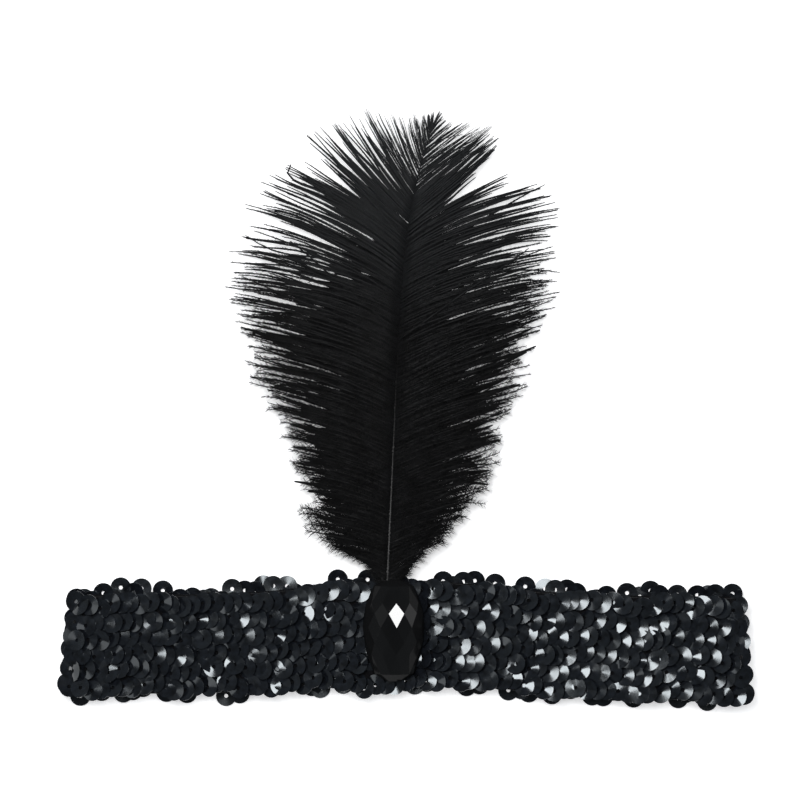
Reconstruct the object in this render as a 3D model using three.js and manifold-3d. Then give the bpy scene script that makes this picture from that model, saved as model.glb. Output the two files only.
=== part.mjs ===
// A sequin headband with an oval stone and an ostrich plume, lying flat.
// Millimetres, +Z up. The origin is under the middle of the band, on the surface that it lies on.
// +X runs along the band and +Y towards the tip of the plume.
import * as THREE from 'three';
import { ConvexGeometry } from 'three/addons/geometries/ConvexGeometry.js';
import { mergeVertices } from 'three/addons/utils/BufferGeometryUtils.js';
import Module from 'manifold-3d';

// Driving dimensions: the band, a stretch loop that lies pressed flat
const CLEARANCE = 0.3;
const LOOP_LENGTH = 239;
const ELASTIC_WIDTH = 34;
const ELASTIC_WALL = 1.2;
const GAP_MIDDLE = 4.8;
const GAP_FOLD = 7.6;
const BAND_BOW = 3.8;

// Driving dimensions: the rows of sequins
const SEQUIN_ROWS = 6;
const SEQUINS_PER_ROW = 110;
const ROW_PITCH = 6;
const SEQUIN_RISE = 2.2;
const SEQUIN_DIP = 1.1;
const ROW_VALLEY = 1.2;
const EDGE_REACH = 2.8;
const EDGE_SCALLOPS = [1.8, 1.4, 0, 0.4];
const STEP_SHARE = 0.8;
const ROW_STAGGER = 0.5;
const FOLD_EASE = 0.5;

// Driving dimensions: the stone
const STONE_CENTRE = new THREE.Vector2(-4.3, 0.5);
const STONE_HALF_WIDTH = 10.6;
const STONE_RISE = 9;
const STONE_TURN = 6;
const FACETS_ROUND = 12;

// Driving dimensions: the plume
const QUILL_RADIUS = 1.1;
const SHAFT_TIP_RADIUS = 0.35;
const SHAFT_SIDES = 8;
const SHAFT_STEPS = 20;
const LOCKS_PER_SIDE = 21;
const LOCK_STEPS = 4;
const LOCK_WIDTH = 8.6;
const LOCK_TIP_WIDTH = 0.9;
const LOCK_THICKNESS = 1.3;
const LOCK_DROOP = 3.6;
const LOCK_ROOT_SHARE = 0.6;
const LOCK_SWELL = 1.6;
const LOCK_TAPER = 2.2;
const LOCK_TIP_SHARE = 0.35;
const GROOVE_SHARE = 0.3;

// The shaft, by its distance up the band's front: where it runs, and how high it lies
const SHAFT_COURSE = [
  { up: 3, across: -6.5, sink: 0 },
  { up: 38, across: -5.1, sink: 0.6 },
  { up: 70, across: -3.4, sink: 1.9 },
  { up: 104, across: -1.9, sink: 3.3 },
  { up: 136, across: 0.7, sink: 4.4 },
  { up: 162, across: 6.0, sink: 5.0 },
];

// The barbs, by the height of their roots: how long each side's are, and their angles from the shaft
const BARBS = [
  { root: 23, left: 20, right: 15, leaves: 32, ends: 66 },
  { root: 30, left: 36, right: 32, leaves: 42, ends: 78 },
  { root: 45, left: 46, right: 41, leaves: 46, ends: 78 },
  { root: 75, left: 62, right: 54, leaves: 48, ends: 77 },
  { root: 105, left: 66, right: 60, leaves: 44, ends: 70 },
  { root: 118, left: 60, right: 58, leaves: 38, ends: 60 },
  { root: 132, left: 48, right: 48, leaves: 28, ends: 46 },
  { root: 144, left: 34, right: 38, leaves: 18, ends: 30 },
  { root: 156, left: 20, right: 21, leaves: 6, ends: 16 },
];

const SAME_POINT = 1e-4;
const LEVEL = 0.999;

const wasm = await Module();
wasm.setup();

// Closed solids from rings of points

// Joins rings of points, each as long as the others, into a closed skin, or into a loop with no ends.
function skin(rings, closesOnItself) {
  const size = rings[0].length;
  const triangles = [];
  const seams = closesOnItself ? rings.length : rings.length - 1;
  for (let i = 0; i < seams; i += 1) {
    const here = i * size;
    const there = ((i + 1) % rings.length) * size;
    for (let j = 0; j < size; j += 1) {
      const next = (j + 1) % size;
      triangles.push(here + j, there + j, there + next, here + j, there + next, here + next);
    }
  }
  if (!closesOnItself) {
    const last = (rings.length - 1) * size;
    for (let j = 1; j < size - 1; j += 1) {
      triangles.push(0, j, j + 1, last, last + j + 1, last + j);
    }
  }
  const geometry = new THREE.BufferGeometry().setFromPoints(rings.flat());
  geometry.setIndex(triangles);
  return facingOut(geometry);
}

// Turns a closed geometry's faces round if they point inwards.
function facingOut(geometry) {
  const place = geometry.getAttribute('position');
  const order = geometry.getIndex().array;
  const corner = (k) => new THREE.Vector3().fromBufferAttribute(place, order[k]);
  let volume = 0;
  for (let k = 0; k < order.length; k += 3) {
    volume += corner(k).dot(corner(k + 1).cross(corner(k + 2)));
  }
  if (volume < 0) {
    order.reverse();
  }
  return geometry;
}

// Joins and cuts

function toSolid(geometry) {
  const bare = new THREE.BufferGeometry();
  bare.setAttribute('position', geometry.getAttribute('position'));
  bare.setIndex(geometry.getIndex());
  const merged = mergeVertices(bare, SAME_POINT);
  const mesh = new wasm.Mesh({
    numProp: 3,
    vertProperties: new Float32Array(merged.getAttribute('position').array),
    triVerts: new Uint32Array(merged.getIndex().array),
  });
  return new wasm.Manifold(mesh);
}

function toGeometry(solid) {
  const mesh = solid.getMesh();
  const geometry = new THREE.BufferGeometry();
  geometry.setAttribute('position', new THREE.BufferAttribute(mesh.vertProperties, 3));
  geometry.setIndex(new THREE.BufferAttribute(mesh.triVerts, 1));
  return geometry;
}

function fuse(geometries) {
  return toGeometry(geometries.map(toSolid).reduce((sum, next) => sum.add(next)));
}

function cut(geometry, tools) {
  return toGeometry(tools.map(toSolid).reduce((rest, tool) => rest.subtract(tool), toSolid(geometry)));
}

// The loop's course, seen along the band's width: flat below, folded at both ends, sagging above

const ELASTIC_FACE = ELASTIC_WALL / 2;
const SEQUIN_BACK = ELASTIC_FACE + CLEARANCE;
const LAYER = SEQUIN_BACK + SEQUIN_RISE;
const BOTTOM_Z = LAYER;
const TOP_MIDDLE_Z = BOTTOM_Z + GAP_MIDDLE + ELASTIC_WALL;
const TOP_FOLD_Z = BOTTOM_Z + GAP_FOLD + ELASTIC_WALL;
const FOLD_RADIUS = (TOP_FOLD_Z - BOTTOM_Z) / 2;
const FOLD_X = LOOP_LENGTH / 2 - LAYER - FOLD_RADIUS;

function loopCourse() {
  // a cubic's middle lies three quarters of the way to its handles
  const handleZ = TOP_FOLD_Z + (TOP_MIDDLE_Z - TOP_FOLD_Z) / 0.75;
  const handleX = FOLD_X / 3;
  const foldZ = BOTTOM_Z + FOLD_RADIUS;
  const course = new THREE.Path();
  course.moveTo(-FOLD_X, BOTTOM_Z);
  course.lineTo(FOLD_X, BOTTOM_Z);
  course.absarc(FOLD_X, foldZ, FOLD_RADIUS, -Math.PI / 2, Math.PI / 2, false);
  course.bezierCurveTo(handleX, handleZ, -handleX, handleZ, -FOLD_X, TOP_FOLD_Z);
  course.absarc(-FOLD_X, foldZ, FOLD_RADIUS, Math.PI / 2, Math.PI * 1.5, false);
  return course;
}

const LOOP = loopCourse();

// How far the band bends towards -Y at a distance along it
function bow(x) {
  return -BAND_BOW * (x / (LOOP_LENGTH / 2)) ** 2;
}

// A point of the loop: a share of the way round, a distance out from the elastic's middle, a place across
function onLoop(share, out, across) {
  const turn = share - Math.floor(share);
  const middle = LOOP.getPointAt(turn);
  const along = LOOP.getTangentAt(turn);
  const x = middle.x + along.y * out;
  const z = middle.y - along.x * out;
  return new THREE.Vector3(x, across + bow(middle.x), Math.abs(z) < SAME_POINT ? 0 : z);
}

// True where the loop lies on the surface, so that its sequins are pressed flat
function isPressed(share) {
  return LOOP.getTangentAt(share - Math.floor(share)).x > LEVEL;
}

// True where the loop turns over at its two ends
function isFolded(share) {
  return Math.abs(LOOP.getPointAt(share - Math.floor(share)).x) > FOLD_X - FOLD_RADIUS / 2;
}

// The elastic: a flat woven wall all round the loop

const FLAT_STEPS = 14;
const FOLD_STEPS = 10;

function elasticBand() {
  const half = ELASTIC_WIDTH / 2;
  const rings = [];
  const ends = LOOP.getCurveLengths();
  const whole = ends[ends.length - 1];
  let from = 0;
  for (const to of ends) {
    const steps = to - from > FOLD_X ? FLAT_STEPS : FOLD_STEPS;
    for (let i = 0; i < steps; i += 1) {
      const share = THREE.MathUtils.lerp(from, to, i / steps) / whole;
      rings.push([
        onLoop(share, -ELASTIC_FACE, -half),
        onLoop(share, ELASTIC_FACE, -half),
        onLoop(share, ELASTIC_FACE, half),
        onLoop(share, -ELASTIC_FACE, half),
      ]);
    }
    from = to;
  }
  return skin(rings, true);
}

// The sequins: rows of overlapping discs fused into one wall, stepped where each disc covers the next

function sequinRows() {
  const pitch = 1 / SEQUINS_PER_ROW;
  const half = (ROW_PITCH * (SEQUIN_ROWS - 1)) / 2;
  const rings = [];
  for (let i = 0; i < 2 * SEQUINS_PER_ROW; i += 1) {
    const isFoot = i % 2 === 1;
    const share = (Math.floor(i / 2) + (isFoot ? STEP_SHARE : 0)) * pitch;
    const reach = EDGE_REACH + EDGE_SCALLOPS[i % EDGE_SCALLOPS.length];
    const back = SEQUIN_BACK + (isFolded(share) ? FOLD_EASE : 0);
    const ring = [];
    for (let row = 0; row < SEQUIN_ROWS; row += 1) {
      const shift = share + (row % 2) * ROW_STAGGER * pitch;
      const across = row * ROW_PITCH - half;
      const crown = isFoot && !isPressed(shift) ? SEQUIN_DIP : SEQUIN_RISE;
      const valleyShift = share + (ROW_STAGGER / 2) * pitch;
      const valley = isPressed(valleyShift) ? SEQUIN_RISE : ROW_VALLEY;
      if (row === 0) {
        ring.push(onLoop(shift, back, across - reach));
        ring.push(onLoop(shift, SEQUIN_BACK + crown - SEQUIN_DIP / 2, across - reach));
      } else {
        ring.push(onLoop(valleyShift, SEQUIN_BACK + valley, across - ROW_PITCH / 2));
      }
      ring.push(onLoop(shift, SEQUIN_BACK + crown, across));
      if (row === SEQUIN_ROWS - 1) {
        ring.push(onLoop(shift, SEQUIN_BACK + crown - SEQUIN_DIP / 2, across + reach));
        ring.push(onLoop(shift, back, across + reach));
      }
    }
    rings.push(ring);
  }
  return skin(rings, true);
}

// The stone: a flat-backed oval cut in lozenges round its long axis, with long kites at its ends

const SEQUIN_TOP_Z = TOP_MIDDLE_Z + LAYER;
const STONE_BACK_Z = SEQUIN_TOP_Z + CLEARANCE;

// Rings of corners from the stone's middle to its ends, spaced so that each lozenge is flat
const STONE_RINGS = [
  { from: 0, radius: STONE_HALF_WIDTH, staggered: false },
  { from: 5, radius: 10.18, staggered: true },
  { from: 8.76, radius: 9.26, staggered: false },
  { from: 15.2, radius: 6.82, staggered: true },
  { from: 18, radius: 2.6, staggered: true },
];

function stone() {
  const depth = STONE_RISE / STONE_HALF_WIDTH;
  const step = (2 * Math.PI) / FACETS_ROUND;
  const corners = [];
  for (const ring of STONE_RINGS) {
    for (let k = 0; k < FACETS_ROUND; k += 1) {
      const angle = (k + (ring.staggered ? 0.5 : 0)) * step + THREE.MathUtils.degToRad(STONE_TURN);
      const x = ring.radius * Math.sin(angle);
      const z = ring.radius * Math.cos(angle) * depth;
      corners.push(new THREE.Vector3(x, ring.from, z), new THREE.Vector3(x, -ring.from, z));
    }
  }
  const barrel = new ConvexGeometry(corners);
  barrel.translate(STONE_CENTRE.x, STONE_CENTRE.y, STONE_BACK_Z);
  const side = 4 * STONE_HALF_WIDTH;
  const below = new THREE.BoxGeometry(side, side, side);
  below.translate(STONE_CENTRE.x, STONE_CENTRE.y, STONE_BACK_Z - side / 2);
  return cut(withIndex(barrel), [below, shaftTube(CLEARANCE, GROOVE_SHARE)]);
}

function withIndex(geometry) {
  const bare = new THREE.BufferGeometry();
  bare.setAttribute('position', geometry.getAttribute('position'));
  return mergeVertices(bare, SAME_POINT);
}

// The plume: a shaft with tapered locks of barbs down both sides

const QUILL_Z = SEQUIN_TOP_Z + CLEARANCE + QUILL_RADIUS;
const SHAFT = new THREE.CatmullRomCurve3(
  SHAFT_COURSE.map((at) => new THREE.Vector3(at.across, at.up, QUILL_Z - at.sink)),
);

// A round tube that narrows along the shaft, made thicker by a margin, over a share of its length
function shaftTube(margin, share) {
  const rings = [];
  for (let i = 0; i <= SHAFT_STEPS; i += 1) {
    const along = (i / SHAFT_STEPS) * share;
    const middle = SHAFT.getPointAt(along);
    const radius = margin + THREE.MathUtils.lerp(QUILL_RADIUS, SHAFT_TIP_RADIUS, along);
    const ring = [];
    for (let k = 0; k < SHAFT_SIDES; k += 1) {
      const angle = ((k + 0.5) / SHAFT_SIDES) * 2 * Math.PI;
      ring.push(new THREE.Vector3(radius * Math.cos(angle), 0, radius * Math.sin(angle)).add(middle));
    }
    rings.push(ring);
  }
  return skin(rings, false);
}

// Reads a column of a table at a place between its rows.
function between(table, key, value, column) {
  const last = table.length - 1;
  let i = 0;
  while (i < last - 1 && value > table[i + 1][key]) {
    i += 1;
  }
  const share = (value - table[i][key]) / (table[i + 1][key] - table[i][key]);
  return THREE.MathUtils.lerp(table[i][column], table[i + 1][column], THREE.MathUtils.clamp(share, 0, 1));
}

// One lock: a flat lens that leaves the shaft, bends outwards, droops and narrows to its tip
function lock(root, side) {
  const length = between(BARBS, 'root', root, side < 0 ? 'left' : 'right');
  const leaves = between(BARBS, 'root', root, 'leaves');
  const ends = between(BARBS, 'root', root, 'ends');
  const start = new THREE.Vector3(
    between(SHAFT_COURSE, 'up', root, 'across'),
    root,
    QUILL_Z - between(SHAFT_COURSE, 'up', root, 'sink'),
  );
  const stride = length / LOCK_STEPS;
  const rings = [];
  for (let i = 0; i <= LOCK_STEPS; i += 1) {
    const share = i / LOCK_STEPS;
    const angle = THREE.MathUtils.degToRad(THREE.MathUtils.lerp(leaves, ends, share));
    const ahead = new THREE.Vector3(side * Math.sin(angle), Math.cos(angle), 0);
    const wide = new THREE.Vector3(-ahead.y, ahead.x, 0);
    const taper = 1 - share ** LOCK_TAPER;
    const swell = Math.min(1, LOCK_ROOT_SHARE + LOCK_SWELL * share);
    const halfWidth = (swell * THREE.MathUtils.lerp(LOCK_TIP_WIDTH, LOCK_WIDTH, taper)) / 2;
    const halfThick = (LOCK_THICKNESS * THREE.MathUtils.lerp(LOCK_TIP_SHARE, 1, taper)) / 2;
    const middle = start.clone();
    middle.z -= LOCK_DROOP * share ** 2;
    rings.push([
      middle.clone().addScaledVector(wide, halfWidth),
      middle.clone().setZ(middle.z + halfThick),
      middle.clone().addScaledVector(wide, -halfWidth),
      middle.clone().setZ(middle.z - halfThick),
    ]);
    start.addScaledVector(ahead, stride);
  }
  return skin(rings, false);
}

function plume() {
  const lowest = BARBS[0].root;
  const highest = BARBS[BARBS.length - 1].root;
  const pieces = [shaftTube(0, 1)];
  for (let i = 0; i < LOCKS_PER_SIDE; i += 1) {
    const root = THREE.MathUtils.lerp(lowest, highest, i / (LOCKS_PER_SIDE - 1));
    pieces.push(lock(root, -1), lock(root, 1));
  }
  return fuse(pieces);
}

// The headband, one mesh for each piece

function piece(name, geometry, finish) {
  const mesh = new THREE.Mesh(geometry, new THREE.MeshStandardMaterial(finish));
  mesh.name = name;
  return mesh;
}

const headband = new THREE.Group();
headband.add(
  piece('elastic_band', elasticBand(), { color: 0x0d0d0f, roughness: 0.9, metalness: 0 }),
  piece('sequin_rows', sequinRows(), { color: 0x15171a, roughness: 0.22, metalness: 0 }),
  piece('stone', stone(), { color: 0x08080a, roughness: 0.06, metalness: 0 }),
  piece('plume', plume(), { color: 0x0c0c0d, roughness: 0.8, metalness: 0 }),
);

export default headband;
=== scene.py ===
import math

import bpy
import numpy as np
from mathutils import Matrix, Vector


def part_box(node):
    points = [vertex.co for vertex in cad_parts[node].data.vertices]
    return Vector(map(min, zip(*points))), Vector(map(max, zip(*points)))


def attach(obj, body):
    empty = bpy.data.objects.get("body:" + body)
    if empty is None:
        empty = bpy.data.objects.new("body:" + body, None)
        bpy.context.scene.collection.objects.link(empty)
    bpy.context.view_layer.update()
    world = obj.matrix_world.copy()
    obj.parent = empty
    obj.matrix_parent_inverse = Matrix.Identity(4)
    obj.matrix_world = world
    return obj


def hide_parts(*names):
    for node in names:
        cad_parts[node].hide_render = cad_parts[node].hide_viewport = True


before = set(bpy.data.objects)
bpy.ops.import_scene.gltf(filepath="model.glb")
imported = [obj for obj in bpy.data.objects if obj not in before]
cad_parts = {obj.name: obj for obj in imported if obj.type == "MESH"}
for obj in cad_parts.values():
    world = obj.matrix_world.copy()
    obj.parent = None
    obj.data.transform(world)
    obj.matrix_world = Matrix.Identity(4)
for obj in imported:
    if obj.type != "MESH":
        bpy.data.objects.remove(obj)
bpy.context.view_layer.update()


# The view and the light
# The headband lies on a plain white light table and is seen straight down, from nearly a metre above.
# The main soft box hangs at the upper left, and weaker ones pick out facets of the stone and cup edges.
VIEW_WIDTH = 0.274
VIEW_CENTRE = (-0.0021, 0.0796)
CAMERA_HEIGHT = 0.91
BAND_HEIGHT = 0.010
SENSOR_WIDTH = 36.0
FLOOR_SIZE = 8.0
FLOOR_WHITE = (0.93, 0.93, 0.935, 1.0)
FLOOR_GLOW = 0.56
SKY_WHITE = (0.88, 0.95, 1.0, 1.0)
SKY_LOW = 0.34
SKY_HIGH = 0.097
SKY_RISE = 0.9

bpy.ops.object.select_all(action="DESELECT")
bpy.ops.object.camera_add(location=(*VIEW_CENTRE, CAMERA_HEIGHT), rotation=(0, 0, 0))
camera = bpy.context.object
camera.name = "camera"
camera.data.sensor_width = SENSOR_WIDTH
camera.data.lens = SENSOR_WIDTH * (CAMERA_HEIGHT - BAND_HEIGHT) / VIEW_WIDTH
bpy.context.scene.camera = camera
bpy.context.scene.view_settings.view_transform = "Standard"


def soft_box(name, place, aim, size, power):
    """A square area light at place, turned to shine at aim."""
    bpy.ops.object.light_add(type="AREA", location=place)
    lamp = bpy.context.object
    lamp.name = name
    lamp.rotation_euler = (Vector(aim) - Vector(place)).to_track_quat("-Z", "Y").to_euler()
    lamp.data.shape = "SQUARE"
    lamp.data.size = size
    lamp.data.energy = power


soft_box("main_box", place=(-0.12, 0.20, 0.72), aim=(0.0, 0.03, 0.0), size=0.25, power=3.6)
soft_box("stone_box", place=(0.126, 0.146, 0.72), aim=(0.0, 0.0, 0.0), size=0.13, power=0.95)
soft_box("left_box", place=(-0.80, -0.08, 0.58), aim=(0.0, 0.0, 0.0), size=0.26, power=0.40)
soft_box("right_box", place=(0.92, 0.20, 0.34), aim=(0.0, 0.0, 0.0), size=0.28, power=0.29)
soft_box("lozenge_box", place=(-0.61, 0.17, 0.70), aim=(0.0, 0.0, 0.0), size=0.20, power=0.022)

world = bpy.data.worlds.new("studio")
world.use_nodes = True
sky = world.node_tree.nodes["Background"]
sky.inputs["Color"].default_value = SKY_WHITE
sky_way = world.node_tree.nodes.new("ShaderNodeTexCoord")
sky_axes = world.node_tree.nodes.new("ShaderNodeSeparateXYZ")
sky_fade = world.node_tree.nodes.new("ShaderNodeMapRange")
sky_fade.inputs["From Min"].default_value = 0.0
sky_fade.inputs["From Max"].default_value = SKY_RISE
sky_fade.inputs["To Min"].default_value = SKY_LOW
sky_fade.inputs["To Max"].default_value = SKY_HIGH
world.node_tree.links.new(sky_way.outputs["Generated"], sky_axes.inputs["Vector"])
world.node_tree.links.new(sky_axes.outputs["Z"], sky_fade.inputs["Value"])
world.node_tree.links.new(sky_fade.outputs["Result"], sky.inputs["Strength"])
bpy.context.scene.world = world


def new_finish(name, roughness, ior):
    """A material with these even values, with its node tree and its Principled shader."""
    material = bpy.data.materials.new(name)
    material.use_nodes = True
    tree = material.node_tree
    shader = tree.nodes["Principled BSDF"]
    shader.inputs["Roughness"].default_value = roughness
    shader.inputs["IOR"].default_value = ior
    return material, tree, shader


bpy.ops.mesh.primitive_plane_add(size=FLOOR_SIZE)
floor = bpy.context.object
floor.name = "floor"
floor_white, _, floor_shader = new_finish("floor_white", roughness=0.9, ior=1.2)
floor_shader.inputs["Base Color"].default_value = FLOOR_WHITE
floor_shader.inputs["Emission Color"].default_value = FLOOR_WHITE
floor_shader.inputs["Emission Strength"].default_value = FLOOR_GLOW
floor.data.materials.append(floor_white)


# The elastic
# One loop of black woven elastic with fine ribs along it, 34 mm wide and about 476 mm round.
# It is pressed flat, so that it has two folds, and its front layer sinks a little between them.
ELASTIC_WALL = 0.0012
ELASTIC_WIDTH = 0.034
FRONT_SINK = 0.0028
BAND_BOW = 0.0053
BAND_RISE = 0.0004
BAND_TILT = 0.0008
BAND_FLARE = 0.03
BOW_REACH = 0.042
HALF_BAND = 0.1195
END_SLANT = 0.11
END_SLANT_POWER = 6
COURSE_STEPS = 300
LOOP_STATIONS = 400
ROWS_ACROSS = 12
EDGE_ROUNDING = 0.0004
RIB_PITCH = 0.0011
PICK_PITCH = 0.0009
ELASTIC_DEEP = (0.003, 0.003, 0.0035, 1.0)
ELASTIC_PALE = (0.006, 0.006, 0.0075, 1.0)

elastic_low, elastic_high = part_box("elastic_band")
FOLD_RADIUS = (elastic_high.z - elastic_low.z - ELASTIC_WALL) / 2
FOLD_X = elastic_high.x - ELASTIC_WALL / 2 - FOLD_RADIUS
FOLD_Z = (elastic_high.z + elastic_low.z) / 2


def loop_course():
    """Points (x, z) round the middle of the elastic: back, right fold, front and left fold."""
    way = np.linspace(0, 1, COURSE_STEPS)
    turn = math.pi * (way - 0.5)
    back = np.column_stack((FOLD_X * (2 * way - 1), np.full_like(way, FOLD_Z - FOLD_RADIUS)))
    right = np.column_stack((FOLD_X + FOLD_RADIUS * np.cos(turn), FOLD_Z + FOLD_RADIUS * np.sin(turn)))
    dip = 4 * way * (1 - way) * FRONT_SINK
    front = np.column_stack((FOLD_X * (1 - 2 * way), FOLD_Z + FOLD_RADIUS - dip))
    left = np.column_stack((-FOLD_X - FOLD_RADIUS * np.cos(turn), FOLD_Z - FOLD_RADIUS * np.sin(turn)))
    return np.concatenate((back, right[1:], front[1:], left[1:]))


course = loop_course()
course_way = np.concatenate(([0], np.cumsum(np.linalg.norm(np.diff(course, axis=0), axis=1))))
LOOP_LENGTH = course_way[-1]
course_heading = np.gradient(course, course_way, axis=0)


def loop_frame(share):
    """At shares of the way round: the place on the elastic's middle, and the way outwards."""
    way = (share % 1.0) * LOOP_LENGTH
    x, z = (np.interp(way, course_way, course[:, i]) for i in (0, 1))
    on_x, on_z = (np.interp(way, course_way, course_heading[:, i]) for i in (0, 1))
    size = np.hypot(on_x, on_z)
    none = np.zeros_like(x)
    place = np.stack((x, none, z), axis=-1)
    outwards = np.stack((on_z / size, none, -on_x / size), axis=-1)
    return place, outwards


def band_bow(x):
    """How far the band's middle line lies towards +Y at x, because it is drawn up under the stone."""
    return BAND_RISE - BAND_BOW * (1 - np.exp(-((x / BOW_REACH) ** 2))) - BAND_TILT * x / HALF_BAND


def flare(x):
    """How many times as wide the band lies at x, because its right half is stretched a little more."""
    return 1 + BAND_FLARE * x / HALF_BAND


def end_slant(x, across):
    """How far to shift a point in X, because the band's ends draw in towards its upper edge."""
    near_end = (np.abs(x) / HALF_BAND) ** END_SLANT_POWER
    return -np.sign(x) * END_SLANT * (across + ELASTIC_WIDTH / 2) * near_end


def points_of(mesh):
    """A mesh's vertices as an array."""
    found = np.empty(len(mesh.vertices) * 3)
    mesh.vertices.foreach_get("co", found)
    return found.reshape(-1, 3)


bpy.ops.object.select_all(action="DESELECT")
bpy.ops.mesh.primitive_cylinder_add(
    vertices=LOOP_STATIONS,
    radius=1.0,
    depth=ELASTIC_WIDTH,
    end_fill_type="NOTHING",
    rotation=(math.pi / 2, 0, 0),
)
elastic = bpy.context.object
elastic.name = "woven_elastic"
bpy.ops.object.transform_apply(location=False, rotation=True, scale=False)
bpy.ops.object.mode_set(mode="EDIT")
bpy.ops.mesh.select_mode(type="EDGE")
bpy.ops.mesh.select_all(action="DESELECT")
bpy.ops.object.mode_set(mode="OBJECT")
for edge in elastic.data.edges:
    start, end = (elastic.data.vertices[i].co for i in edge.vertices)
    edge.select = abs(start.y - end.y) > ELASTIC_WIDTH / 2
bpy.ops.object.mode_set(mode="EDIT")
bpy.ops.mesh.subdivide(number_cuts=ROWS_ACROSS - 1)
bpy.ops.object.mode_set(mode="OBJECT")

hoop = points_of(elastic.data)
hoop_share = (np.arctan2(hoop[:, 2], hoop[:, 0]) / (2 * math.pi)) % 1.0
hoop_place = loop_frame(hoop_share)[0]
hoop_place[:, 1] = hoop[:, 1] * flare(hoop_place[:, 0]) + band_bow(hoop_place[:, 0])
hoop_place[:, 0] += end_slant(hoop_place[:, 0], hoop[:, 1])
elastic.data.vertices.foreach_set("co", hoop_place.ravel())
along = elastic.data.attributes.new("along", "FLOAT", "POINT")
along.data.foreach_set("value", hoop_share * LOOP_LENGTH)
across = elastic.data.attributes.new("across", "FLOAT", "POINT")
across.data.foreach_set("value", hoop[:, 1])
elastic.data.update()

bpy.ops.object.mode_set(mode="EDIT")
bpy.ops.mesh.select_all(action="SELECT")
bpy.ops.mesh.normals_make_consistent(inside=False)
bpy.ops.object.mode_set(mode="OBJECT")
wall = elastic.modifiers.new("wall", "SOLIDIFY")
wall.thickness = ELASTIC_WALL
wall.offset = 0.0
bpy.ops.object.modifier_apply(modifier=wall.name)
rounding = elastic.modifiers.new("rounding", "BEVEL")
rounding.width = EDGE_ROUNDING
rounding.segments = 2
rounding.limit_method = "ANGLE"
rounding.angle_limit = math.radians(60)
bpy.ops.object.modifier_apply(modifier=rounding.name)
bpy.ops.object.shade_smooth_by_angle(angle=math.radians(40))


def dye_mottle_group():
    """Uneven dye: a colour between Deep and Pale, by a soft noise in space, and the noise itself."""
    group = bpy.data.node_groups.new("dye_mottle", "ShaderNodeTree")
    scale_in = group.interface.new_socket("Scale", in_out="INPUT", socket_type="NodeSocketFloat")
    scale_in.default_value = 300.0
    group.interface.new_socket("Deep", in_out="INPUT", socket_type="NodeSocketColor")
    group.interface.new_socket("Pale", in_out="INPUT", socket_type="NodeSocketColor")
    group.interface.new_socket("Colour", in_out="OUTPUT", socket_type="NodeSocketColor")
    group.interface.new_socket("Mottle", in_out="OUTPUT", socket_type="NodeSocketFloat")
    nodes = group.nodes
    values = nodes.new("NodeGroupInput")
    result = nodes.new("NodeGroupOutput")
    place = nodes.new("ShaderNodeTexCoord")
    noise = nodes.new("ShaderNodeTexNoise")
    noise.inputs["Detail"].default_value = 4.0
    spread = nodes.new("ShaderNodeMapRange")
    spread.inputs["From Min"].default_value = 0.3
    spread.inputs["From Max"].default_value = 0.7
    blend = nodes.new("ShaderNodeMixRGB")
    group.links.new(place.outputs["Object"], noise.inputs["Vector"])
    group.links.new(values.outputs["Scale"], noise.inputs["Scale"])
    group.links.new(noise.outputs["Fac"], spread.inputs["Value"])
    group.links.new(spread.outputs["Result"], blend.inputs["Fac"])
    group.links.new(values.outputs["Deep"], blend.inputs["Color1"])
    group.links.new(values.outputs["Pale"], blend.inputs["Color2"])
    group.links.new(blend.outputs["Color"], result.inputs["Colour"])
    group.links.new(spread.outputs["Result"], result.inputs["Mottle"])
    return group


dye_mottle = dye_mottle_group()


def add_mottle(tree, scale, deep, pale):
    """The uneven dye in a material, with its own scale and colours."""
    mottle = tree.nodes.new("ShaderNodeGroup")
    mottle.node_tree = dye_mottle
    mottle.inputs["Scale"].default_value = scale
    mottle.inputs["Deep"].default_value = deep
    mottle.inputs["Pale"].default_value = pale
    return mottle


def feed(tree, socket, value):
    """Give a socket a link from another one, or a value of its own."""
    if isinstance(value, bpy.types.NodeSocket):
        tree.links.new(value, socket)
    else:
        socket.default_value = value


def add_math(tree, operation, first, second):
    """A Math node of one link or number and another, and its output."""
    node = tree.nodes.new("ShaderNodeMath")
    node.operation = operation
    feed(tree, node.inputs[0], first)
    feed(tree, node.inputs[1], second)
    return node.outputs["Value"]


def add_attribute(tree, name):
    """The output of one of the mesh's own values."""
    node = tree.nodes.new("ShaderNodeAttribute")
    node.attribute_name = name
    return node.outputs["Fac"]


def add_bump(tree, shader, height, distance, strength):
    """Relief on a shader's normal from a height output."""
    bump = tree.nodes.new("ShaderNodeBump")
    bump.inputs["Distance"].default_value = distance
    bump.inputs["Strength"].default_value = strength
    tree.links.new(height, bump.inputs["Height"])
    tree.links.new(bump.outputs["Normal"], shader.inputs["Normal"])


def rib_wave(tree, attribute, pitch):
    """A wave of this pitch along one of the mesh's own lengths."""
    turns = add_math(tree, "MULTIPLY", add_attribute(tree, attribute), 2 * math.pi / pitch)
    return add_math(tree, "SINE", turns, 0.0)


ribbed_elastic, elastic_tree, elastic_shader = new_finish("ribbed_elastic", roughness=0.75, ior=1.45)
elastic_dye = add_mottle(elastic_tree, scale=900.0, deep=ELASTIC_DEEP, pale=ELASTIC_PALE)
feed(elastic_tree, elastic_shader.inputs["Base Color"], elastic_dye.outputs["Colour"])
ribs = rib_wave(elastic_tree, "across", RIB_PITCH)
picks = rib_wave(elastic_tree, "along", PICK_PITCH)
weave = add_math(elastic_tree, "MULTIPLY", ribs, picks)
add_bump(elastic_tree, elastic_shader, weave, distance=0.0002, strength=0.8)
elastic_shader.inputs["Specular IOR Level"].default_value = 0.1
elastic.data.materials.append(ribbed_elastic)

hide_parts("elastic_band")
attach(elastic, "root")


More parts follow.
